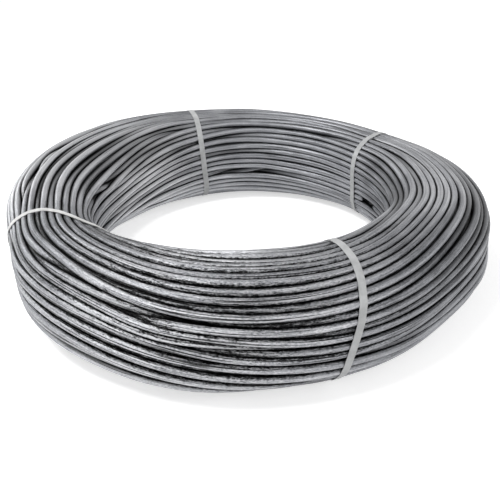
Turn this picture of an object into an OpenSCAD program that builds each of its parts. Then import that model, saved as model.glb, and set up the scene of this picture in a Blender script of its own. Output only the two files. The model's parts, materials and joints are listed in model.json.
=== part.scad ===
// Coil of stainless steel wire, lying flat and held by four plastic straps.
// The axis of the coil is Z, and the straps rest on the floor at Z = 0.

/* [Wire] */
// Diameter of the wire
wire_d = 10; // [8:0.5:16]

/* [Coil] */
// Clear diameter of the eye, between the innermost turns
eye_d = 460; // [300:5:700]
// Thickness of the winding, from the eye to the outermost turns
winding_w = 145; // [120:5:220]
// Height over the turns, as the coil lies
coil_h = 160; // [120:5:240]
// Radius of the wound section's four corners, over the turns
corner_r = 58; // [30:1:68]
// Depth of the narrow land that the winding block leaves along each innermost turn
land = 0.15; // [0.05:0.05:0.3]

/* [Straps] */
// Width of a strap
strap_w = 10; // [6:1:19]
// Thickness of a strap
strap_t = 0.7; // [0.5:0.1:1]
// Gap between a strap and the crests of the turns
strap_gap = 0.2; // [0.15:0.05:0.3]
// Length over which a strap's two ends lie welded on each other
weld_length = 40; // [15:1:45]
// Bearing of the strap on the left, anticlockwise from +X
left_bearing = 207; // [160:1:230]
// Bearing of the strap at the back, left of the middle
back_left_bearing = 109; // [95:1:150]
// Bearing of the strap at the back, right of the middle
back_right_bearing = 36; // [0:1:85]
// Bearing of the strap at the front, right of the middle
front_right_bearing = 292; // [275:1:345]

/* [Hidden] */
$fn = 48;

STEEL = [0.55, 0.56, 0.57];
STRAP_GREY = [0.80, 0.81, 0.80];

// The wound section, over the crests of its turns, before the eye is trued to its clear diameter.
section_w = winding_w + land;
section_x = eye_d / 2 - land + section_w / 2;
section_z = strap_t + strap_gap + coil_h / 2;

// Half the straight length along the section's top and bottom, and along its two walls.
flat_x = section_w / 2 - corner_r;
flat_z = coil_h / 2 - corner_r;

// The line through the centres of the outer turns: a rectangle with round corners.
line_r = corner_r - wire_d / 2;
corner_arc = line_r * PI / 2;
quarter_line = flat_z + corner_arc + flat_x;
turns = ceil(4 * quarter_line / wire_d);

// A point on the first quarter of the line, at length s from the middle of the outer wall upwards.
function quarter_point(s) =
    s < flat_z ? [flat_x + line_r, s]
    : s < flat_z + corner_arc ? corner_point((s - flat_z) / corner_arc * 90)
    : [quarter_line - s, flat_z + line_r];
function corner_point(angle) = [flat_x + line_r * cos(angle), flat_z + line_r * sin(angle)];

// A point on the whole line, by mirroring the quarter across the section's two middle lines.
function half_point(s) =
    s <= quarter_line ? quarter_point(s)
    : let (p = quarter_point(2 * quarter_line - s)) [-p.x, p.y];
function line_point(s) =
    s <= 2 * quarter_line ? half_point(s)
    : let (p = half_point(4 * quarter_line - s)) [p.x, -p.y];
function turn_centre(i) = [section_x, section_z] + line_point(i * 4 * quarter_line / turns);

// The corners of a strap, anticlockwise from the outer top one.
CORNER_SIDES = [[1, 1], [-1, 1], [-1, -1], [1, -1]];
INNER_BOTTOM = 2;
OUTER_BOTTOM = 3;

// Section of the wound wire: a round crest for each turn that shows, on every side.
module wound_section() {
    intersection() {
        union() {
            polygon([for (i = [0 : turns - 1]) turn_centre(i)]);
            for (i = [0 : turns - 1]) {
                translate(turn_centre(i)) circle(d = wire_d);
            }
        }
        translate([eye_d / 2, 0]) square([section_w, 2 * section_z]);
    }
}

module wire_coil() {
    color(STEEL) rotate_extrude($fn = 144) wound_section();
}

// A quarter of a flat ring, in the first quadrant.
module quarter_ring(inner_r, thickness) {
    intersection() {
        difference() {
            circle(r = inner_r + thickness);
            circle(r = inner_r);
        }
        square(2 * (inner_r + thickness));
    }
}

// The welded lap of a strap's two ends: a second thickness on the middle of a corner.
module weld_lap(inner_r) {
    half_angle = weld_length / inner_r * 90 / PI;
    reach = 2 * (inner_r + 2 * strap_t);
    intersection() {
        quarter_ring(inner_r + strap_t / 2, strap_t * 3 / 2);
        polygon([
            [0, 0],
            reach * [cos(45 - half_angle), sin(45 - half_angle)],
            reach * [cos(45 + half_angle), sin(45 + half_angle)]
        ]);
    }
}

// A strap's closed loop round the section, with its weld on the corner named.
module strap_loop(weld_corner) {
    inner_r = corner_r + strap_gap;
    for (i = [0 : 3]) {
        translate([CORNER_SIDES[i].x * flat_x, CORNER_SIDES[i].y * flat_z]) rotate(i * 90) {
            quarter_ring(inner_r, strap_t);
            if (i == weld_corner) weld_lap(inner_r);
        }
    }
    for (side = [-1, 1]) {
        translate([side * (flat_x + inner_r + strap_t / 2), 0])
            square([strap_t, 2 * flat_z], center = true);
        translate([0, side * (flat_z + inner_r + strap_t / 2)])
            square([2 * flat_x, strap_t], center = true);
    }
}

module strap(bearing, weld_corner) {
    color(STRAP_GREY) rotate([0, 0, bearing]) translate([section_x, 0, section_z]) rotate([90, 0, 0])
        linear_extrude(strap_w, center = true) strap_loop(weld_corner);
}

wire_coil();
strap(left_bearing, INNER_BOTTOM);  // strap_left
strap(back_left_bearing, OUTER_BOTTOM);  // strap_back_left
strap(back_right_bearing, OUTER_BOTTOM);  // strap_back_right
strap(front_right_bearing, INNER_BOTTOM);  // strap_front_right
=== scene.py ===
"""A strapped coil of drawn stainless steel wire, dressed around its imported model."""

import json
import math

import bpy
import numpy as np
from mathutils import Matrix, Vector


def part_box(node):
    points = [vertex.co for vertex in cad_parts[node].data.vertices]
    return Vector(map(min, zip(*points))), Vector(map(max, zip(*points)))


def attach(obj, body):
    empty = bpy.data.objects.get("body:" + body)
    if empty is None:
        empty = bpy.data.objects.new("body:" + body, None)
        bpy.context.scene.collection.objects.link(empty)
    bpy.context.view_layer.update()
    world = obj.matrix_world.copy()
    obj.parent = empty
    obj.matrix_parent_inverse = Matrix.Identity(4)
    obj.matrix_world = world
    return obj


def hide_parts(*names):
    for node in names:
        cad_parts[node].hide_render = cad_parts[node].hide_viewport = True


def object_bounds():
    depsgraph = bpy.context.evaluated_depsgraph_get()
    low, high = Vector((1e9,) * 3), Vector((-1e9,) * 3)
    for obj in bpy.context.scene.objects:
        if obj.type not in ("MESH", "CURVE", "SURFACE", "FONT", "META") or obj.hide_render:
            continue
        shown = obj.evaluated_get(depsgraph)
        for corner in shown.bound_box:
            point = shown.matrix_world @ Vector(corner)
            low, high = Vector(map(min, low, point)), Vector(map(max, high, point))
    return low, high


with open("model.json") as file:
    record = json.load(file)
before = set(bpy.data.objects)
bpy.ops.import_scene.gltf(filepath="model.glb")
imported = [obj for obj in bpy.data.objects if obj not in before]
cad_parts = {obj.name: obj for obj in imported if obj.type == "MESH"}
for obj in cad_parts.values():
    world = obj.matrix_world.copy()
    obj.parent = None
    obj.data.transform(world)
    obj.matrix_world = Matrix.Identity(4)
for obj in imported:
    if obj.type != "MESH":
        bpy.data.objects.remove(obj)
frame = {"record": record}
cad_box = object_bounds()

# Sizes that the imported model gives. Lengths are in metres and angles in degrees, unless named otherwise.
coil_low, coil_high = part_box("wire_coil")
COIL_R = coil_high[0]
COIL_BASE = coil_low[2]
COIL_TOP = coil_high[2]
MOUNTS = {mount["name"]: mount for mount in frame["record"]["mounts"]}
EYE_R = MOUNTS["eye"]["dims"]["r_mm"] / 1000

# The wire, and the radius of the wound section's corners
WIRE_D = 0.010
WIRE_R = WIRE_D / 2
CORNER_R = 0.058

# The layers that are modelled, from the outside in: how many turns each has, and which way it is wound.
# The second has fewer turns than would fit, so that it takes in those that dive out of the first.
LAYER_TURNS = (55, 20, 22)
LAYER_FIRST = tuple(sum(LAYER_TURNS[:layer]) for layer in range(len(LAYER_TURNS)))
LAYER_WAY = (1, -1, 1)
# How much deeper each layer lies than the one outside it
LAYER_STEP = 0.87 * WIRE_D
# The smallest radius of a layer's corners
LEAST_CORNER_R = 0.008
# How freely a layer's turns move when they are pushed
LAYER_FREEDOM = (1.0, 0.8, 0.15)
# How far a layer's turns may settle below the outermost ones. A whole metre is no limit.
LAYER_DEEPEST = (0.0095, 1, 1)
# Each layer's piece: its name, the rings in a turn of its tube, and the corners of a ring
TUBES = (("turns_outer", 150, 12), ("turns_second", 150, 10), ("turns_third", 100, 6))

# The winding is worked out on even slices round the coil
SLICES = 120
SEED = 14

# How the turns' breadths vary along the wire, and how far the turns wander in and out.
# Both are made of some waves, between the slowest and the fastest, in waves a turn.
WANDER_WAVES = 12
BREADTH_VARIES = 0.22
BREADTH_WAVES = (0.3, 2.5)
DIP = 0.0016
DIP_WAVES = (0.5, 4)

# How the turns settle: for what share of the steps, and how strongly, they are drawn to where they aim,
# how often and how strongly those that overlap are pushed apart, and how strongly the wire is evened out
SETTLE_STEPS = 200
AIM_UNTIL = 0.8
AIM_PULL = 0.03
PUSHES = 2
PUSH = 0.225
SMOOTHING = 0.25
# The least length that anything is divided by
TINY = 1e-9

# Places where the whole winding stands out or draws in: bearing, spread, and how far
OUTER_LUMPS = (
    (140, 28, 0.0185), (4, 24, 0.0125), (66, 20, -0.0085), (199, 13, -0.0105),
    (214, 7, 0.005), (252, 20, 0.001), (318, 11, -0.009), (342, 10, 0.006),
)
EYE_LUMPS = (
    (195, 30, 0.0125), (120, 24, -0.0095), (55, 24, 0.0075), (345, 30, -0.003),
    (239, 8, -0.004), (258, 9, 0.003), (288, 11, -0.0025),
)
TOP_LUMPS = ((33, 40, -0.010), (145, 40, 0.008), (288, 36, 0.0065))

# Patches on the winding: bearing and its spread, share of the way round the section and its spread, a size.
# The way round starts at the middle of the outer wall and goes up: 0.25 is the top, 0.5 the wall of the eye.
# A spread of ALL_ROUND takes in the whole section.
ALL_ROUND = 9
# Humps and hollows
HUMPS = ((5, 24, 0.375, 0.04, 0.007), (8, 26, 0.53, 0.07, -0.009), (328, 12, 0.97, 0.06, -0.005))
# Turns that slip along the way round the section, or against it, in turns' breadths
SAGS = (
    (280, 30, 0.1, ALL_ROUND, -3.5), (312, 30, 0.1, ALL_ROUND, -3.0), (350, 40, 0.1, ALL_ROUND, -2.5),
    (40, 45, 0.1, ALL_ROUND, -1.5), (282, 36, 0.15, 0.12, -1.5),
)
# Room between the turns, in turns' breadths
ROOM = ((172, 18, 0.28, 0.10, 1.7), (346, 24, 0.10, 0.08, 0.4), (85, 36, 0.5, 0.12, 0.25))
# Rough, scaly skin, over what the wire has everywhere
BARE_SKIN = 0.25
ROUGH_SKIN = ((262, 28, 0.18, 0.16, 1.0), (257, 24, 0.98, 0.10, 0.85))
# Painted shade between the turns: places with more of it, or less
GAP_SHADE = (
    (178, 22, 0.25, 0.14, 0.8), (262, 34, 0.1, ALL_ROUND, 0.85), (240, 20, 0.34, 0.07, 0.5),
    (278, 16, 0.35, 0.05, -1.1), (345, 18, 0.05, 0.10, 0.8), (85, 34, 0.5, 0.2, -0.3),
    (330, 40, 0.25, 0.12, -0.3), (238, 26, 0.89, 0.05, -0.9), (304, 20, 0.93, 0.04, -0.5),
    (272, 14, 0.935, 0.03, 1.2),
)
# The narrowest that the painted shade between the turns may become
LEAST_GAP_SHADE = 0.4
# Painted light and shade: places where the skin is painted brighter or duller
PAINTED_LIGHT_AND_SHADE = (
    (172, 20, 0.24, 0.14, 0.20), (350, 30, 0.22, 0.14, 0.11), (70, 34, 0.5, 0.2, -0.04),
    (140, 20, 0.45, 0.2, 0.18), (318, 18, 0.08, 0.12, -0.14), (258, 18, 0.03, 0.06, 0.05),
    (8, 16, 0.52, 0.05, -0.10), (247, 16, 0.10, 0.16, 0.12), (274, 20, 0.34, 0.05, 0.14),
    (217, 12, 0.2, 0.12, -0.09), (284, 10, 0.15, 0.14, 0.05), (238, 26, 0.89, 0.05, 0.05),
)

# How much the painted shade between the turns is mottled, by how many waves, and the range of their counts
# round coil and section
MOTTLE = 0.25
MOTTLE_WAVES = 10
MOTTLE_ROUND_COIL = (1, 6)
MOTTLE_ROUND_SECTION = (6, 26)

# How full the outer layer lies, and where it lies fuller or less full: bearing, spread, how much.
# The turns that find no room dive under the others.
FULL = 0.98
FULLER = ((250, 40, 0.12), (170, 18, -0.17), (346, 24, -0.03), (85, 40, -0.04))
# Turns that dive at chosen places: share of the way round the section, bearing, and over how many degrees
DIVES = (
    (0.163, 205, 96), (0.181, 208, 106), (0.199, 211, 124),
    (0.86, 320, 130), (0.89, 318, 110), (0.92, 316, 92),
    *((share, 172, 54) for share in (0.233, 0.27, 0.306, 0.342, 0.38, 0.416)),
    *((share, 346, 62) for share in (0.05, 0.10)),
    (0.40, 85, 60), (0.48, 75, 70), (0.56, 90, 60), (0.44, 120, 50),
)
# Over how many degrees a turn eases down or up, how many turns off another dives where there is no room,
# and what share of its breadth a diving turn gives up to its neighbours
DIVE_EASE = 9
DIVES_APART = 2
DIVE_YIELDS = 0.95
# Turns that lie sunk between their neighbours: share, bearing, and over how many degrees
SUNK_TURNS = ((0.12, 262, 60), (0.04, 335, 50), (0.31, 80, 70), (0.18, 346, 60))
SUNK_DEPTH = 0.006
# How far a loose turn may stand out between the straps
LOOSE = 0.0025

# What each point of the wire's skin carries for its material: how near the next turn lies,
# which sets the painted shade between the turns, how deep the point lies in wire diameters up to a limit,
# which sets the painted shade of depth, how rough it is, and how much it is painted brighter or darker as
# light and shade
SKIN_VALUES = ("gap", "deep", "skin", "painted_light_and_shade")
DEEP_LIMIT = 4

# The wire's two ends: the bearing of each, and the share of the way round the section at which they lie.
# The last ring of an end is drawn in, so that its edge is broken.
END_BEARINGS = (27, 19)
END_SHARE = 0.555
TIP = 0.8

# The straps: their widths, their thickness, and their gap over the turns
STRAP_W = {"left": 0.008, "back_left": 0.010, "back_right": 0.010, "front_right": 0.010}
STRAP_T = 0.0007
STRAP_GAP = 0.0002
STRAP_NAMES = tuple(STRAP_W)
PALE_STRAPS = ("left",)
# How far each strap leans from its bearing, at shares of the way round the section
STRAP_LEAN = {
    "left": (
        (0.0, -11.0), (0.11, -6.0), (0.17, -2.6), (0.24, -1.4),
        (0.30, 4.2), (0.34, 16.0), (0.5, 18.0), (0.75, 1.0),
    ),
    "back_left": ((0.0, 0.0), (0.24, -0.8), (0.40, 1.6), (0.50, 1.0), (0.61, -0.5), (0.75, -1.0)),
    "back_right": ((0.0, 3.0), (0.22, 1.5), (0.36, -1.5), (0.46, -3.8), (0.60, -3.6), (0.75, 0.0)),
    "front_right": (
        (0.06, -1.0), (0.16, 0.5), (0.29, 3.0), (0.5, 3.0), (0.75, -3.0), (0.91, -4.0), (0.98, -2.4),
    ),
}
# Over what share of the way round a strap eases from one lean to the next
STRAP_BEND = 0.035
# How far a strap's pull draws the turns together, over what spread, and how much it stills their wandering
STRAP_PULL = 0.0015
STRAP_PULL_SPREAD = 9
STRAP_STILLS = 0.6
# How finely the turns are looked at for a strap, and how many points its lean, a crest and its loop have
LOOK_STEPS = 720
LEAN_STEPS = 800
CREST_CORNERS = 24
LOOP_POINTS = 110
# Each strap's weld lies low on the side that is out of sight: its angle round the section, and half its span
INNER_LOW = -135
OUTER_LOW = -45
STRAP_WELDS = {"left": INNER_LOW, "back_left": OUTER_LOW, "back_right": OUTER_LOW, "front_right": INNER_LOW}
WELD_HALF = 18
# How far up the strap's thickness its upper end starts, as the weld has melted the two together
WELD_SINK = 0.9
# The sharpest angle between faces that are shaded as one
SMOOTH_ANGLE = 40

# What lifts the tone of the steel as a whole, its roughness, and what its film adds to that
STEEL_TONE = 0.045
STEEL_ROUGHNESS = 0.38
FILM_ROUGHNESS = 0.15

# The floor, and how strongly it glows where it is seen
FLOOR_SIZE = 30
FLOOR_GLOW = 0.55
# The lamps: name, place, size and power. They all point at one place in the coil's middle.
LAMPS = (
    ("key_light", (-0.9, -0.5, 2.2), 0.7, 32),
    ("side_light", (-1.7, 0.9, 1.1), 0.6, 10),
    ("fill_light", (1.5, -1.2, 1.5), 1.0, 8),
)
LAMP_TARGET = (0, 0, 0.08)

# The camera, fitted to the photograph
IMAGE_PX = 500
SENSOR_MM = 36
CAMERA_FOCAL_PX = 622
CAMERA_DISTANCE = 1.035
CAMERA_ELEVATION = 26.2
CAMERA_PITCH = 29.5
CAMERA_YAW = 0.56
CAMERA_ROLL = -0.77


def offset(value, centre, full):
    """How far a value lies from a centre, by the shorter way, where full is once round."""
    return (value - centre + full / 2) % full - full / 2


def bell(off, spread):
    """1 at the middle, falling away softly over a spread to both sides."""
    return np.exp(-0.5 * (off / spread) ** 2)


def near(bearing, centre, spread):
    """1 at a bearing, falling away over a spread of degrees to both sides."""
    return bell(offset(bearing, centre, 360), spread)


def lumps_at(bearing, lumps):
    """The sum of soft lumps round the coil."""
    return sum(size * near(bearing, centre, spread) for centre, spread, size in lumps)


def patches_at(bearing, share, patches):
    """The sum of soft patches on the winding."""
    total = 0
    for centre, spread, middle, width, size in patches:
        total = total + size * near(bearing, centre, spread) * bell(offset(share, middle, 1), width)
    return total


def strap_bearing(name):
    """Where a strap crosses under the coil, in degrees anticlockwise from +X."""
    x, y, _ = MOUNTS["rest_" + name]["pos_m"]
    return math.degrees(math.atan2(y, x)) % 360


def held_at(bearing):
    """1 under a strap, 0 far from one."""
    return np.clip(sum(near(bearing, strap_bearing(name), STRAP_PULL_SPREAD) for name in STRAP_NAMES), 0, 1)


def section_at(bearing):
    """The wound section at some bearings, over the turns: its middle, and half its width and height."""
    waist = STRAP_PULL * held_at(bearing)
    outer = COIL_R + lumps_at(bearing, OUTER_LUMPS) - waist
    inner = EYE_R + lumps_at(bearing, EYE_LUMPS) + waist
    top = COIL_TOP + lumps_at(bearing, TOP_LUMPS) - waist
    return (outer + inner) / 2, (top + COIL_BASE) / 2, (outer - inner) / 2, (top - COIL_BASE) / 2


def line_point(share, half_x, half_z, corner):
    """A point on a rectangle with round corners, a share of the way round from its outer wall's middle."""
    flat_x = half_x - corner
    flat_z = half_z - corner
    arc = corner * np.pi / 2
    quarter = flat_x + arc + flat_z
    along = (share % 1) * 4 * quarter
    low = along > 2 * quarter
    along = np.where(low, 4 * quarter - along, along)
    inner = along > quarter
    along = np.where(inner, 2 * quarter - along, along)
    angle = np.clip((along - flat_z) / arc, 0, 1) * np.pi / 2
    x = flat_x + corner * np.cos(angle) - np.clip(along - flat_z - arc, 0, None)
    z = np.clip(along, 0, flat_z) + corner * np.sin(angle)
    return np.where(inner, -x, x), np.where(low, -z, z)


def outside(x, z, half_x, half_z, corner):
    """How far points lie outside a rectangle with round corners, and the way out."""
    over_x = np.abs(x) - (half_x - corner)
    over_z = np.abs(z) - (half_z - corner)
    out_x = np.maximum(over_x, 0)
    out_z = np.maximum(over_z, 0)
    out = np.hypot(out_x, out_z)
    far = out + np.minimum(np.maximum(over_x, over_z), 0) - corner
    safe = np.maximum(out, TINY)
    way_x = np.where(out > 0, out_x / safe, over_x > over_z) * np.sign(x)
    way_z = np.where(out > 0, out_z / safe, over_x <= over_z) * np.sign(z)
    return far, way_x, way_z


def wander(random, along, turns, slowest, fastest):
    """A smooth wandering along a layer's wire, made of waves of some lengths, in waves a turn."""
    total = 0
    for _ in range(WANDER_WAVES):
        wave = random.integers(round(slowest * turns), round(fastest * turns) + 1)
        total = total + np.sin(2 * np.pi * wave * along / turns + random.uniform(0, 2 * np.pi))
    return total / math.sqrt(WANDER_WAVES / 2)


def stretches(along, turns, spans):
    """1 along chosen stretches of a layer's wire, easing to 0 past their ends.

    A span is a turn, the bearing of the stretch's middle, and its length in degrees.
    """
    total = np.zeros(along.shape)
    for turn, bearing, length in spans:
        off = np.abs(offset(along - turn, bearing / 360, turns)) * 360
        total = np.maximum(total, 0.5 - 0.5 * np.tanh((off - length / 2) / (2 * DIVE_EASE)))
    return total


def crossing(one, other, turns):
    """Whether two stretches lie close beside each other."""
    beside = abs(offset(one[0], other[0], turns)) < DIVES_APART
    return beside and abs(offset(one[1], other[1], 360)) < (one[2] + other[2]) / 2


def chosen_dives(turns):
    """The stretches where turns dive at chosen places."""
    spans = []
    for share, bearing, length in DIVES:
        turn = round(share * turns - bearing / 360 - 0.5) % turns
        spans.append((turn, bearing, length))
    return spans


def dive_spans(random, turns):
    """The stretches where turns dive: at the chosen places, and wherever the section has no room for all."""
    spans = chosen_dives(turns)
    bearing = np.arange(360)
    _, _, half_x, half_z = section_at(bearing)
    line = 4 * (half_x + half_z - 2 * CORNER_R) + 2 * np.pi * (CORNER_R - WIRE_R)
    too_many = turns - (FULL + lumps_at(bearing, FULLER)) * line / WIRE_D
    for _, middle, length in spans:
        too_many = too_many - (np.abs(offset(bearing, middle, 360)) < length / 2)
    for level in np.arange(0.5, too_many.max()):
        crowded = too_many > level
        for start in np.flatnonzero(crowded & ~np.roll(crowded, 1)):
            length = np.argmin(np.roll(crowded, -start))
            for turn in random.permutation(turns):
                span = (turn, start + length / 2, length)
                if not any(crossing(span, other, turns) for other in spans):
                    break
            spans.append(span)
    return spans


def sunk_depth(along, share, turns):
    """How deep turns lie sunk between their neighbours."""
    depth = np.zeros(along.shape)
    for at_share, bearing, length in SUNK_TURNS:
        row = round(bearing * SLICES / 360) % SLICES
        turn = np.abs(offset(share[row], at_share, 1)).argmin()
        depth = np.maximum(depth, SUNK_DEPTH * stretches(along, turns, [(turn, bearing, length)]))
    return depth


def laid_turns():
    """Where the turns of each layer aim to lie before they settle, and how far humps lift them there.

    Each layer's turns share out the way round the section by their breadths, and the layers are
    staggered by half a turn.
    """
    random = np.random.default_rng(SEED)
    bearing = np.arange(SLICES)[:, None] * 360 / SLICES
    _, _, half_x, half_z = section_at(bearing)
    held = held_at(bearing)
    layers = []
    for layer, (turns, way) in enumerate(zip(LAYER_TURNS, LAYER_WAY)):
        along = way * np.arange(turns)[None, :] + bearing / 360
        breadth = np.exp(BREADTH_VARIES * wander(random, along, turns, *BREADTH_WAVES))
        dip = DIP * wander(random, along, turns, *DIP_WAVES)
        if layer == 0:
            dive = stretches(along, turns, dive_spans(random, turns))
            room = 1 + patches_at(bearing, (along + 0.5) / turns, ROOM)
            breadth = breadth * room * (1 - DIVE_YIELDS * dive)
            dip = dip + LAYER_STEP * dive
        edge = np.cumsum(breadth, 1)
        drift = way * bearing / 360 * breadth[0, 0 if way > 0 else -1]
        share = (edge - breadth / 2 + drift) / edge[:, -1:] + layer / 2 / turns
        share = share + patches_at(bearing, share, SAGS) / turns
        if layer == 0:
            dip = dip + sunk_depth(along, share, turns)
        hump = patches_at(bearing, share, HUMPS)
        depth = WIRE_R + layer * LAYER_STEP + dip * (1 - STRAP_STILLS * held) - hump
        corner = np.maximum(CORNER_R - depth, LEAST_CORNER_R)
        x, z = line_point(share, half_x - depth, half_z - depth, corner)
        layers.append((x, z, hump))
    return [np.concatenate(parts, 1) for parts in zip(*layers)]


def neighbours():
    """For each turn, the turn that its wire goes on to after a full circle, and the one it comes from."""
    following, before = [], []
    for first, turns, way in zip(LAYER_FIRST, LAYER_TURNS, LAYER_WAY):
        following.append(first + (np.arange(turns) + way) % turns)
        before.append(first + (np.arange(turns) - way) % turns)
    return np.concatenate(following), np.concatenate(before)


FOLLOWING, BEFORE = neighbours()


def push_apart(x, z, freedom):
    """Moves turns that overlap away from each other, in place."""
    dx = (x[:, :, None] - x[:, None, :]).astype(np.float32)
    dz = (z[:, :, None] - z[:, None, :]).astype(np.float32)
    apart = np.maximum(np.sqrt(dx * dx + dz * dz), TINY)
    push = np.maximum(WIRE_D - apart, 0) * PUSH / apart
    x += freedom * (push * dx).sum(2)
    z += freedom * (push * dz).sum(2)


def even_out(spot):
    """Evens the turns out along the wire, in place."""
    after = np.concatenate([spot[1:], spot[:1, FOLLOWING]])
    behind = np.concatenate([spot[-1:, BEFORE], spot[:-1]])
    spot += SMOOTHING * (after + behind - 2 * spot)


def settled_turns():
    """The turns pushed apart to lie side by side, kept inside the section and smooth along the wire."""
    aim_x, aim_z, hump = laid_turns()
    bearing = np.arange(SLICES)[:, None] * 360 / SLICES
    middle_r, middle_z, half_x, half_z = section_at(bearing)
    loose = LOOSE * (1 - held_at(bearing)) + np.maximum(hump, 0)
    freedom = np.repeat(LAYER_FREEDOM, LAYER_TURNS)[None, :]
    deepest = np.repeat(LAYER_DEEPEST, LAYER_TURNS)[None, :] - np.minimum(hump, 0)
    x = aim_x.copy()
    z = aim_z.copy()
    for step in range(SETTLE_STEPS):
        if step <= AIM_UNTIL * SETTLE_STEPS:
            x += AIM_PULL * (aim_x - x)
            z += AIM_PULL * (aim_z - z)
        for _ in range(PUSHES):
            push_apart(x, z, freedom)
        far, way_x, way_z = outside(x, z, half_x - WIRE_R, half_z - WIRE_R, CORNER_R - WIRE_R)
        over = np.maximum(far - loose, 0) + np.minimum(far + deepest, 0)
        x -= over * way_x
        z -= over * way_z
        z = np.maximum(z, WIRE_R - half_z)
        even_out(x)
        even_out(z)
    return x + middle_r, np.maximum(z + middle_z, COIL_BASE + WIRE_R)


# Radius and height of the middle of every turn, on each slice
turn_r, turn_z = settled_turns()


def turns_at(steps):
    """Radius and height of every turn, at even steps round the coil."""
    spot = np.arange(steps) * SLICES / steps
    index = np.floor(spot).astype(int)
    part = (spot - index)[:, None]

    def between(values):
        """A smooth curve through the slices, by the four nearest each step."""
        carried = np.concatenate([values[-1:, BEFORE], values, values[:2, FOLLOWING]])
        a, b, c, d = (carried[index + k] for k in range(4))
        return b + 0.5 * part * (c - a + part * (2 * a - 5 * b + 4 * c - d + part * (3 * (b - c) + d - a)))

    return between(turn_r), between(turn_z)


def way_round(radius, height, middle_r, middle_z):
    """About what share of the way round the section points lie."""
    return np.arctan2(height - middle_z, radius - middle_r) / (2 * np.pi) % 1


def mottle(random, bearing, share):
    """A soft mottling all over the winding."""
    total = 0
    for _ in range(MOTTLE_WAVES):
        wave = random.integers(*MOTTLE_ROUND_COIL) * bearing / 360
        wave = wave + random.integers(*MOTTLE_ROUND_SECTION) * share + random.uniform()
        total = total + np.sin(2 * np.pi * wave)
    return total / math.sqrt(MOTTLE_WAVES / 2)


def gaps_beside(ring_r, ring_z, all_r, all_z, order):
    """How far each corner of each ring lies from the nearest other turn, in radii of the wire."""
    gap = np.empty(ring_r.shape)
    for side in range(ring_r.shape[2]):
        away_r = ring_r[:, :, side, None] - all_r[:, None, :]
        away_z = ring_z[:, :, side, None] - all_z[:, None, :]
        away = np.hypot(away_r, away_z)
        away[:, np.arange(len(order)), order] = np.inf
        gap[:, :, side] = away.min(2) / WIRE_R - 1
    return gap


def wire_rings(layer, steps, sides):
    """The rings of a layer's tube, in their order along the wire, with a row of corners for each ring."""
    turns = LAYER_TURNS[layer]
    order = LAYER_FIRST[layer] + LAYER_WAY[layer] * np.arange(turns) % turns
    all_r, all_z = turns_at(steps)
    radius, height = all_r[:, order, None], all_z[:, order, None]
    bearing = np.arange(steps)[:, None, None] * 360 / steps
    middle_r, middle_z, half_x, half_z = section_at(bearing)
    corner = np.arctan2(middle_z - height, middle_r - radius) + np.arange(sides) * 2 * np.pi / sides
    ring_r = radius + WIRE_R * np.cos(corner)
    ring_z = height + WIRE_R * np.sin(corner)
    share = way_round(ring_r, ring_z, middle_r, middle_z)
    mottling = MOTTLE * mottle(np.random.default_rng(SEED), bearing, share)
    # How wide the painted shade between the turns is here
    gap_shade = 1 + patches_at(bearing, share, GAP_SHADE) + mottling
    far = outside(ring_r - middle_r, ring_z - middle_z, half_x, half_z, CORNER_R)[0]
    deep = (LOOSE + patches_at(bearing, share, HUMPS) - far) / WIRE_D
    values = {
        "radius": ring_r,
        "height": ring_z,
        "bearing": np.broadcast_to(bearing, ring_r.shape),
        "along": np.broadcast_to(radius * 2 * np.pi / steps, ring_r.shape),
        "gap": gaps_beside(ring_r, ring_z, all_r, all_z, order) / np.maximum(gap_shade, LEAST_GAP_SHADE),
        "deep": np.clip(deep, 0, DEEP_LIMIT),
        "skin": BARE_SKIN + patches_at(bearing, share, ROUGH_SKIN),
        # Painted light and shade, brighter or darker by place on the winding
        "painted_light_and_shade": patches_at(bearing, share, PAINTED_LIGHT_AND_SHADE),
    }
    return {key: value.transpose(1, 0, 2).reshape(-1, sides) for key, value in values.items()}


def tube_faces(count, sides, closed):
    """The faces of a tube through rings of corners: closed on itself, or with a face at each end."""
    spans = count if closed else count - 1
    row = np.arange(spans)[:, None] * sides
    row_after = (np.arange(spans)[:, None] + 1) % count * sides
    col = np.arange(sides)[None, :]
    col_after = (col + 1) % sides
    corners = (row + col, row_after + col, row_after + col_after, row + col_after)
    faces = np.stack(corners, -1).reshape(-1, 4).tolist()
    if not closed:
        faces.append(list(range(sides)))
        faces.append([(count - 1) * sides + k for k in reversed(range(sides))])
    return faces


def tube_map(mesh, along, closed):
    """Maps a tube: metres along it, and the share of the way round it."""
    count, sides = along.shape
    spans = count if closed else count - 1
    after = np.cumsum(along[:spans], 0)
    before = after - along[:spans]
    v = np.broadcast_to(np.arange(sides) / sides, (spans, sides))
    corners = ((before, v), (after, v), (after, v + 1 / sides), (before, v + 1 / sides))
    uv = np.zeros((len(mesh.loops), 2))
    uv[: spans * sides * 4] = np.stack([np.stack(corner, -1) for corner in corners], 2).reshape(-1, 2)
    mesh.uv_layers.new(name="wire").data.foreach_set("uv", uv.ravel())


def wire_ends():
    """Where the wire's two ends lie, in turns along the outer layer: on the turn nearest their place."""
    first, last = END_BEARINGS
    middle_r, middle_z, half_x, half_z = section_at(first)
    x, z = line_point(END_SHARE, half_x - WIRE_R, half_z - WIRE_R, CORNER_R - WIRE_R)
    row = round(first * SLICES / 360)
    turns = LAYER_TURNS[0]
    turn = np.hypot(turn_r[row, :turns] - middle_r - x, turn_z[row, :turns] - middle_z - z).argmin()
    return turn + first / 360, turn + turns + last / 360


def cut_wire(rings, kept):
    """The rings of a wire with two ends: those that are kept, with each end's edge broken and without
    painted shade.
    """
    rings = {key: value[kept] for key, value in rings.items()}
    for tip in (0, -1):
        for key in ("radius", "height"):
            middle = rings[key][tip].mean()
            rings[key][tip] = middle + TIP * (rings[key][tip] - middle)
        # The tips get none of the painted shade between the turns or of depth
        rings["gap"][tip] = 1
        rings["deep"][tip] = 0
    return rings


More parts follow.
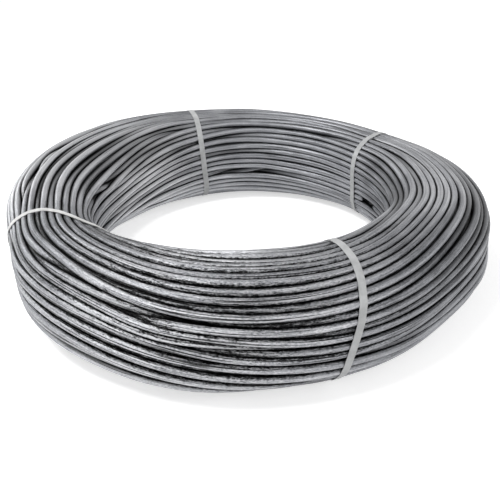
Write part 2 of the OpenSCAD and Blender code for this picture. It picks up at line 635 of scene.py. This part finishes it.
def wire_mesh(name, layer, steps, sides, ends=None):
    """A layer's wire as one tube, with its two ends in turns along the wire, or without any."""
    rings = wire_rings(layer, steps, sides)
    if ends:
        start, stop = (round(end * steps) for end in ends)
        rings = cut_wire(rings, np.arange(start, stop) % (steps * LAYER_TURNS[layer]))
    radius = rings["radius"]
    around = np.radians(rings["bearing"])
    points = np.stack([radius * np.cos(around), radius * np.sin(around), rings["height"]], -1)
    mesh = bpy.data.meshes.new(name)
    mesh.from_pydata(points.reshape(-1, 3).tolist(), [], tube_faces(len(points), sides, not ends))
    tube_map(mesh, rings["along"], not ends)
    for key in SKIN_VALUES:
        mesh.attributes.new(key, "FLOAT", "POINT").data.foreach_set("value", rings[key].ravel())
    mesh.polygons.foreach_set("use_smooth", np.ones(len(mesh.polygons), bool))
    mesh.update()
    piece = bpy.data.objects.new(name, mesh)
    bpy.context.collection.objects.link(piece)
    return piece


def hull(points):
    """The corners of the tightest loop round some points in a plane, anticlockwise."""
    points = sorted(map(tuple, points))

    def turns_left(a, b, c):
        """Whether the way from a through b to c turns left."""
        return (b[0] - a[0]) * (c[1] - a[1]) - (b[1] - a[1]) * (c[0] - a[0]) > 0

    def chain(run):
        kept = []
        for point in run:
            while len(kept) > 1 and not turns_left(kept[-2], kept[-1], point):
                kept.pop()
            kept.append(point)
        return kept[:-1]

    return np.array(chain(points) + chain(points[::-1]))


def leaning(name):
    """A function that gives a strap's bearing, with its lean, at points on its way round the section."""
    base = strap_bearing(name)
    middle_r, middle_z, half_x, half_z = (float(value) for value in section_at(base))
    share = np.arange(LEAN_STEPS) / LEAN_STEPS
    line_x, line_z = line_point(share, half_x, half_z, CORNER_R)
    lean_share, lean = np.array(STRAP_LEAN[name]).T
    weight = bell(offset(share[:, None], share, 1), STRAP_BEND)
    eased = weight @ np.interp(share, lean_share, lean, period=1) / weight.sum(1)

    def bearing_at(radius, height):
        away = np.hypot(radius[:, None] - middle_r - line_x, height[:, None] - middle_z - line_z)
        return base + eased[away.argmin(1)]

    return bearing_at


def loop_over_turns(name, bearing_at):
    """The tightest loop over the turns that a strap crosses: the radius and height of its corners."""
    all_r, all_z = turns_at(LOOK_STEPS)
    outer = np.arange(LAYER_TURNS[0] + LAYER_TURNS[1])
    row = round(strap_bearing(name) * LOOK_STEPS / 360) % LOOK_STEPS
    bearing = bearing_at(all_r[row, outer], all_z[row, outer])
    row = np.round(bearing * LOOK_STEPS / 360).astype(int) % LOOK_STEPS
    spokes = np.arange(CREST_CORNERS) * 2 * np.pi / CREST_CORNERS
    reach = WIRE_R + STRAP_GAP
    crest_r = all_r[row, outer][:, None] + reach * np.cos(spokes)
    crest_z = all_z[row, outer][:, None] + reach * np.sin(spokes)
    return hull(np.stack([crest_r.ravel(), crest_z.ravel()], -1))


def strap_loop(name):
    """Even points along a strap drawn tight, the ways out and across there, and the length up to each."""
    bearing_at = leaning(name)
    corners = loop_over_turns(name, bearing_at)
    corners = np.concatenate([corners, corners[:1]])
    length = np.concatenate([[0], np.cumsum(np.hypot(*np.diff(corners, axis=0).T))])
    spots = np.arange(LOOP_POINTS) / LOOP_POINTS * length[-1]
    radius = np.interp(spots, length, corners[:, 0])
    height = np.maximum(np.interp(spots, length, corners[:, 1]), STRAP_T)
    run_r = np.roll(radius, -1) - np.roll(radius, 1)
    run_z = np.roll(height, -1) - np.roll(height, 1)
    around = np.radians(bearing_at(radius, height))
    spoke = np.stack([np.cos(around), np.sin(around), np.zeros(LOOP_POINTS)], -1)
    up = np.array([0, 0, 1])
    points = spoke * radius[:, None] + up * height[:, None]
    out = (spoke * run_z[:, None] - up * run_r[:, None]) / np.hypot(run_r, run_z)[:, None]
    along = np.roll(points, -1, 0) - np.roll(points, 1, 0)
    across = np.cross(out, along)
    across /= np.linalg.norm(across, axis=1)[:, None]
    return points, out, across, spots


def edit(piece):
    """Opens one piece in edit mode."""
    bpy.ops.object.select_all(action="DESELECT")
    piece.select_set(True)
    bpy.context.view_layer.objects.active = piece
    bpy.ops.object.mode_set(mode="EDIT")


def band_sheet(name, points, across):
    """A strap's band before it is thickened: a loop drawn out from one edge to the other.

    With it comes the point of the loop that each of its corners belongs to.
    """
    half_width = across * STRAP_W[name] / 2
    bpy.ops.object.select_all(action="DESELECT")
    bpy.ops.mesh.primitive_circle_add(vertices=LOOP_POINTS, radius=1, location=(0, 0, 0))
    piece = bpy.context.object
    piece.name = "band_" + name
    mesh = piece.data
    for vertex, place in zip(mesh.vertices, points - half_width):
        vertex.co = place
    edit(piece)
    bpy.ops.mesh.select_all(action="SELECT")
    bpy.ops.mesh.extrude_edges_move()
    bpy.ops.object.mode_set(mode="OBJECT")
    made = np.array([vertex.co for vertex in mesh.vertices])
    home = np.linalg.norm(made[LOOP_POINTS:, None] - made[None, :LOOP_POINTS], axis=2).argmin(1)
    for vertex, spot in zip(mesh.vertices[LOOP_POINTS:], home):
        vertex.co = points[spot] + half_width[spot]
    mesh.update()
    return piece, np.concatenate([np.arange(LOOP_POINTS), home])


def band_map(mesh, spots, spot_of):
    """Maps a band: metres along it, and 0 or 1 at its two edges."""
    uv = mesh.uv_layers.new(name="band").data
    for face in mesh.polygons:
        ends = [spot_of[mesh.loops[k].vertex_index] for k in face.loop_indices]
        wraps = max(ends) - min(ends) > LOOP_POINTS / 2
        for k, end in zip(face.loop_indices, ends):
            far = spots[end] + (spots[1] * LOOP_POINTS if wraps and end == 0 else 0)
            uv[k].uv = (far, mesh.loops[k].vertex_index >= LOOP_POINTS)


def turn_outwards(piece, out, spot_of):
    """Turns a band's faces to the outside of its loop."""
    face = piece.data.polygons[0]
    if Vector(out[spot_of[face.vertices[0]]]).dot(face.normal) < 0:
        edit(piece)
        bpy.ops.mesh.select_all(action="SELECT")
        bpy.ops.mesh.flip_normals()
        bpy.ops.object.mode_set(mode="OBJECT")


def weld_ends(piece, name):
    """Lays a strap's upper end over its lower one, where they are welded."""
    middle_r, middle_z, _, _ = section_at(strap_bearing(name))
    edit(piece)
    bpy.ops.mesh.select_all(action="DESELECT")
    bpy.ops.object.mode_set(mode="OBJECT")
    for face in piece.data.polygons:
        x, y, z = face.center
        angle = math.degrees(math.atan2(z - middle_z, math.hypot(x, y) - middle_r))
        face.select = abs(angle - STRAP_WELDS[name]) < WELD_HALF
    edit(piece)
    bpy.ops.mesh.duplicate()
    bpy.ops.transform.shrink_fatten(value=WELD_SINK * STRAP_T)
    bpy.ops.object.mode_set(mode="OBJECT")


def thicken(piece):
    """Gives a band its thickness, and keeps it above the floor."""
    solidify = piece.modifiers.new("thickness", "SOLIDIFY")
    solidify.thickness = STRAP_T
    solidify.offset = 1
    bpy.ops.object.modifier_apply(modifier="thickness")
    for vertex in piece.data.vertices:
        vertex.co.z = max(vertex.co.z, 0)
    bpy.ops.object.shade_smooth_by_angle(angle=math.radians(SMOOTH_ANGLE))


def strap_piece(name):
    """A flat strap: a loop drawn into a band, its welded lap, its thickness, and whether it is pale."""
    points, out, across, spots = strap_loop(name)
    piece, spot_of = band_sheet(name, points, across)
    band_map(piece.data, spots, spot_of)
    turn_outwards(piece, out, spot_of)
    weld_ends(piece, name)
    thicken(piece)
    pale = np.full(len(piece.data.vertices), float(name in PALE_STRAPS))
    piece.data.attributes.new("pale", "FLOAT", "POINT").data.foreach_set("value", pale)
    return piece


def link(tree, out_socket, in_socket):
    tree.links.new(out_socket, in_socket)


def add_node(tree, kind, **values):
    node = tree.nodes.new(kind)
    for key, value in values.items():
        setattr(node, key, value)
    return node


def math_node(tree, operation, first, second):
    node = add_node(tree, "ShaderNodeMath", operation=operation)
    for socket, value in zip(node.inputs, (first, second)):
        if isinstance(value, (int, float)):
            socket.default_value = value
        else:
            link(tree, value, socket)
    return node.outputs[0]


def weighed(tree, *parts):
    """A sum of values, each with its weight."""
    total = 0
    for value, weight in parts:
        total = math_node(tree, "ADD", math_node(tree, "MULTIPLY", value, weight), total)
    return total


def attribute_node(tree, name):
    return add_node(tree, "ShaderNodeAttribute", attribute_name=name).outputs["Fac"]


def streaks_node(tree, vector, stretch, detail, roughness):
    """Noise with its own scale along a wire and round it."""
    mapping = add_node(tree, "ShaderNodeMapping")
    mapping.inputs["Scale"].default_value = stretch
    link(tree, vector, mapping.inputs["Vector"])
    noise = add_node(tree, "ShaderNodeTexNoise")
    noise.inputs["Scale"].default_value = 1
    noise.inputs["Detail"].default_value = detail
    noise.inputs["Roughness"].default_value = roughness
    link(tree, mapping.outputs["Vector"], noise.inputs["Vector"])
    return noise.outputs["Fac"]


def ramp_node(tree, value, stops):
    node = add_node(tree, "ShaderNodeValToRGB")
    elements = node.color_ramp.elements
    while len(elements) < len(stops):
        elements.new(0.5)
    for element, (position, color) in zip(elements, stops):
        element.position = position
        element.color = (*color, 1)
    link(tree, value, node.inputs["Fac"])
    return node.outputs["Color"]


def grey(level):
    return (level, level, level)


def tint_node(tree, color, shade):
    """A colour darkened by a shade."""
    node = add_node(tree, "ShaderNodeMix", data_type="RGBA", blend_type="MULTIPLY")
    node.inputs[0].default_value = 1
    # The node's sockets for colours share their names with others, so they are told apart by number
    link(tree, color, node.inputs[6])
    link(tree, shade, node.inputs[7])
    return node.outputs[2]


def bump_node(tree, height, strength, distance):
    node = add_node(tree, "ShaderNodeBump")
    node.inputs["Strength"].default_value = strength
    node.inputs["Distance"].default_value = distance
    link(tree, height, node.inputs["Height"])
    return node.outputs["Normal"]


def new_material(name):
    material = bpy.data.materials.new(name)
    material.use_nodes = True
    return material, material.node_tree, material.node_tree.nodes["Principled BSDF"]


def smudge_group():
    """A node group for cloudy smudges: a mask, at a scale that each material sets."""
    tree = bpy.data.node_groups.new("smudges", "ShaderNodeTree")
    tree.interface.new_socket("Vector", in_out="INPUT", socket_type="NodeSocketVector")
    tree.interface.new_socket("Scale", in_out="INPUT", socket_type="NodeSocketFloat")
    tree.interface.new_socket("Mask", in_out="OUTPUT", socket_type="NodeSocketFloat")
    given = add_node(tree, "NodeGroupInput")
    noise = add_node(tree, "ShaderNodeTexNoise")
    noise.inputs["Detail"].default_value = 5
    noise.inputs["Roughness"].default_value = 0.6
    link(tree, given.outputs["Vector"], noise.inputs["Vector"])
    link(tree, given.outputs["Scale"], noise.inputs["Scale"])
    spread = add_node(tree, "ShaderNodeMapRange")
    spread.inputs["From Min"].default_value = 0.3
    spread.inputs["From Max"].default_value = 0.7
    link(tree, noise.outputs["Fac"], spread.inputs["Value"])
    link(tree, spread.outputs["Result"], add_node(tree, "NodeGroupOutput").inputs["Mask"])
    return tree


def smudges_node(tree, group, scale):
    """The smudges on a piece, in its own coordinates."""
    node = add_node(tree, "ShaderNodeGroup", node_tree=group)
    node.inputs["Scale"].default_value = scale
    link(tree, add_node(tree, "ShaderNodeTexCoord").outputs["Object"], node.inputs["Vector"])
    return node.outputs["Mask"]


def drawn_steel(smudges):
    """Satin wire: drawing lines, a cloudy film, rough scale at the front, painted shade between the turns
    and at depth, and painted light and shade in places.
    """
    material, tree, shader = new_material("drawn_steel")
    along = add_node(tree, "ShaderNodeUVMap", uv_map="wire").outputs["UV"]
    gap, deep, skin, painted_light_and_shade = (attribute_node(tree, name) for name in SKIN_VALUES)
    lines = streaks_node(tree, along, stretch=(9, 15, 1), detail=3, roughness=0.6)
    bands = streaks_node(tree, along, stretch=(3, 3.5, 1), detail=3, roughness=0.55)
    crumble = streaks_node(tree, along, stretch=(60, 13, 1), detail=4, roughness=0.65)
    grain = streaks_node(tree, along, stretch=(260, 18, 1), detail=2, roughness=0.6)
    crack = streaks_node(tree, along, stretch=(5, 16, 1), detail=3, roughness=0.55)
    film = smudges_node(tree, smudges, scale=18)
    crumbs = math_node(tree, "MULTIPLY", math_node(tree, "SUBTRACT", crumble, 0.5), skin)
    grains = math_node(tree, "MULTIPLY", math_node(tree, "SUBTRACT", grain, 0.5), skin)

    marks = (lines, 0.45), (bands, 0.35), (film, 0.1)
    # The tone takes in painted light and shade, brighter or darker by place
    tone = weighed(tree, *marks, (crumbs, 0.35), (grains, 0.5), (painted_light_and_shade, 1))
    steel = ramp_node(tree, math_node(tree, "ADD", tone, STEEL_TONE), (
        (0.34, (0.112, 0.114, 0.122)),
        (0.45, (0.265, 0.271, 0.289)),
        (0.53, (0.365, 0.371, 0.391)),
        (0.68, (0.622, 0.628, 0.648)),
    ))
    ragged = weighed(tree, (gap, 1), (crumbs, 1.1), (grains, 0.7))
    # Painted shade between the turns: black where one turn touches the next, none a little away from it
    gap_shade = ramp_node(tree, ragged, ((0.12, grey(0.01)), (0.27, grey(0.25)), (0.5, grey(1))))
    cracked = weighed(tree, (crack, 1), (skin, -0.10))
    cracks = ramp_node(tree, cracked, ((0.275, grey(0.08)), (0.315, grey(1))))
    # Painted shade: the deeper a point lies under the outer turns, the darker it is painted
    shade = ramp_node(tree, deep, ((0.25, grey(1)), (0.6, grey(0.6)), (1, grey(0.25))))
    for dark in (gap_shade, cracks, shade):
        steel = tint_node(tree, steel, dark)
    link(tree, steel, shader.inputs["Base Color"])

    film_adds = math_node(tree, "MULTIPLY", film, FILM_ROUGHNESS)
    link(tree, math_node(tree, "ADD", film_adds, STEEL_ROUGHNESS), shader.inputs["Roughness"])
    shader.inputs["Metallic"].default_value = 0.8
    height = weighed(tree, (lines, 1), (crumbs, 1.2), (grains, 1))
    link(tree, bump_node(tree, height, strength=0.6, distance=0.0012), shader.inputs["Normal"])
    return material


def strapping(smudges):
    """Flat plastic strapping: fine pressed ribs across it, and smudges from handling. Some is paler."""
    material, tree, shader = new_material("strapping")
    along = add_node(tree, "ShaderNodeUVMap", uv_map="band").outputs["UV"]
    pale = attribute_node(tree, "pale")
    plastic = ramp_node(tree, pale, ((0, (0.465, 0.471, 0.474)), (1, (0.63, 0.63, 0.622))))
    smudge = ramp_node(tree, smudges_node(tree, smudges, scale=60), ((0, grey(0.72)), (0.9, grey(1))))
    link(tree, tint_node(tree, plastic, smudge), shader.inputs["Base Color"])
    shader.inputs["Roughness"].default_value = 0.5
    ribs = add_node(tree, "ShaderNodeTexWave")
    ribs.inputs["Scale"].default_value = 100
    link(tree, along, ribs.inputs["Vector"])
    ribbed = bump_node(tree, ribs.outputs["Fac"], strength=0.2, distance=0.0002)
    link(tree, ribbed, shader.inputs["Normal"])
    return material


def pale_floor():
    """A matt floor that is near white where it is seen, and still takes the coil's shadow."""
    bpy.ops.object.select_all(action="DESELECT")
    bpy.ops.mesh.primitive_plane_add(size=FLOOR_SIZE, location=(0, 0, 0))
    floor = bpy.context.object
    floor.name = "floor"
    material, tree, shader = new_material("pale_floor")
    shader.inputs["Base Color"].default_value = (0.8, 0.8, 0.8, 1)
    shader.inputs["Roughness"].default_value = 1
    shader.inputs["Specular IOR Level"].default_value = 0
    shader.inputs["Emission Color"].default_value = (1, 1, 1, 1)
    rays = add_node(tree, "ShaderNodeLightPath")
    seen = math_node(tree, "MAXIMUM", rays.outputs["Is Camera Ray"], rays.outputs["Is Glossy Ray"])
    seen = math_node(tree, "MAXIMUM", seen, rays.outputs["Is Transmission Ray"])
    link(tree, math_node(tree, "MULTIPLY", seen, FLOOR_GLOW), shader.inputs["Emission Strength"])
    floor.data.materials.append(material)


def soft_light(name, place, size, power):
    lamp = bpy.data.lights.new(name, "AREA")
    lamp.energy = power
    lamp.shape = "DISK"
    lamp.size = size
    light = bpy.data.objects.new(name, lamp)
    light.location = place
    light.rotation_euler = (Vector(LAMP_TARGET) - Vector(place)).to_track_quat("-Z", "Y").to_euler()
    bpy.context.collection.objects.link(light)


def surroundings():
    """White below and round the horizon, and greyer overhead."""
    world = bpy.data.worlds.new("studio")
    bpy.context.scene.world = world
    world.use_nodes = True
    tree = world.node_tree
    look = add_node(tree, "ShaderNodeSeparateXYZ")
    link(tree, add_node(tree, "ShaderNodeTexCoord").outputs["Generated"], look.inputs["Vector"])
    sky = ramp_node(tree, look.outputs["Z"], ((0.38, grey(1)), (0.55, grey(0.42))))
    link(tree, sky, tree.nodes["Background"].inputs["Color"])


def photo_camera():
    """The camera where the photograph was taken from."""
    camera_data = bpy.data.cameras.new("camera")
    camera_data.sensor_width = SENSOR_MM
    camera_data.lens = CAMERA_FOCAL_PX / IMAGE_PX * SENSOR_MM
    camera = bpy.data.objects.new("camera", camera_data)
    rise = math.radians(CAMERA_ELEVATION)
    pitch = math.radians(CAMERA_PITCH)
    yaw = math.radians(CAMERA_YAW)
    roll = math.radians(CAMERA_ROLL)
    forward = Vector((math.sin(yaw) * math.cos(pitch), math.cos(yaw) * math.cos(pitch), -math.sin(pitch)))
    level = Vector((math.cos(yaw), -math.sin(yaw), 0))
    upright = level.cross(forward)
    right = level * math.cos(roll) + upright * math.sin(roll)
    up = upright * math.cos(roll) - level * math.sin(roll)
    turn = Matrix((right, up, -forward)).transposed().to_4x4()
    middle = (cad_box[0][2] + cad_box[1][2]) / 2
    place = Vector((0, -math.cos(rise) * CAMERA_DISTANCE, middle + math.sin(rise) * CAMERA_DISTANCE))
    camera.matrix_world = Matrix.Translation(place) @ turn
    bpy.context.collection.objects.link(camera)
    bpy.context.scene.camera = camera


# The wire, in its layers
smudges = smudge_group()
wire_steel = drawn_steel(smudges)
for layer, (name, steps, sides) in enumerate(TUBES):
    piece = wire_mesh(name, layer, steps, sides, wire_ends() if layer == 0 else None)
    piece.data.materials.append(wire_steel)
    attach(piece, "root")
    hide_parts("wire_coil")

# The straps
strap_plastic = strapping(smudges)
for name in STRAP_NAMES:
    piece = strap_piece(name)
    piece.data.materials.append(strap_plastic)
    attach(piece, "root")
    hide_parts("strap_" + name)

# The floor, light and camera
pale_floor()
for lamp in LAMPS:
    soft_light(*lamp)
surroundings()
photo_camera()
bpy.context.scene.view_settings.view_transform = "Standard"
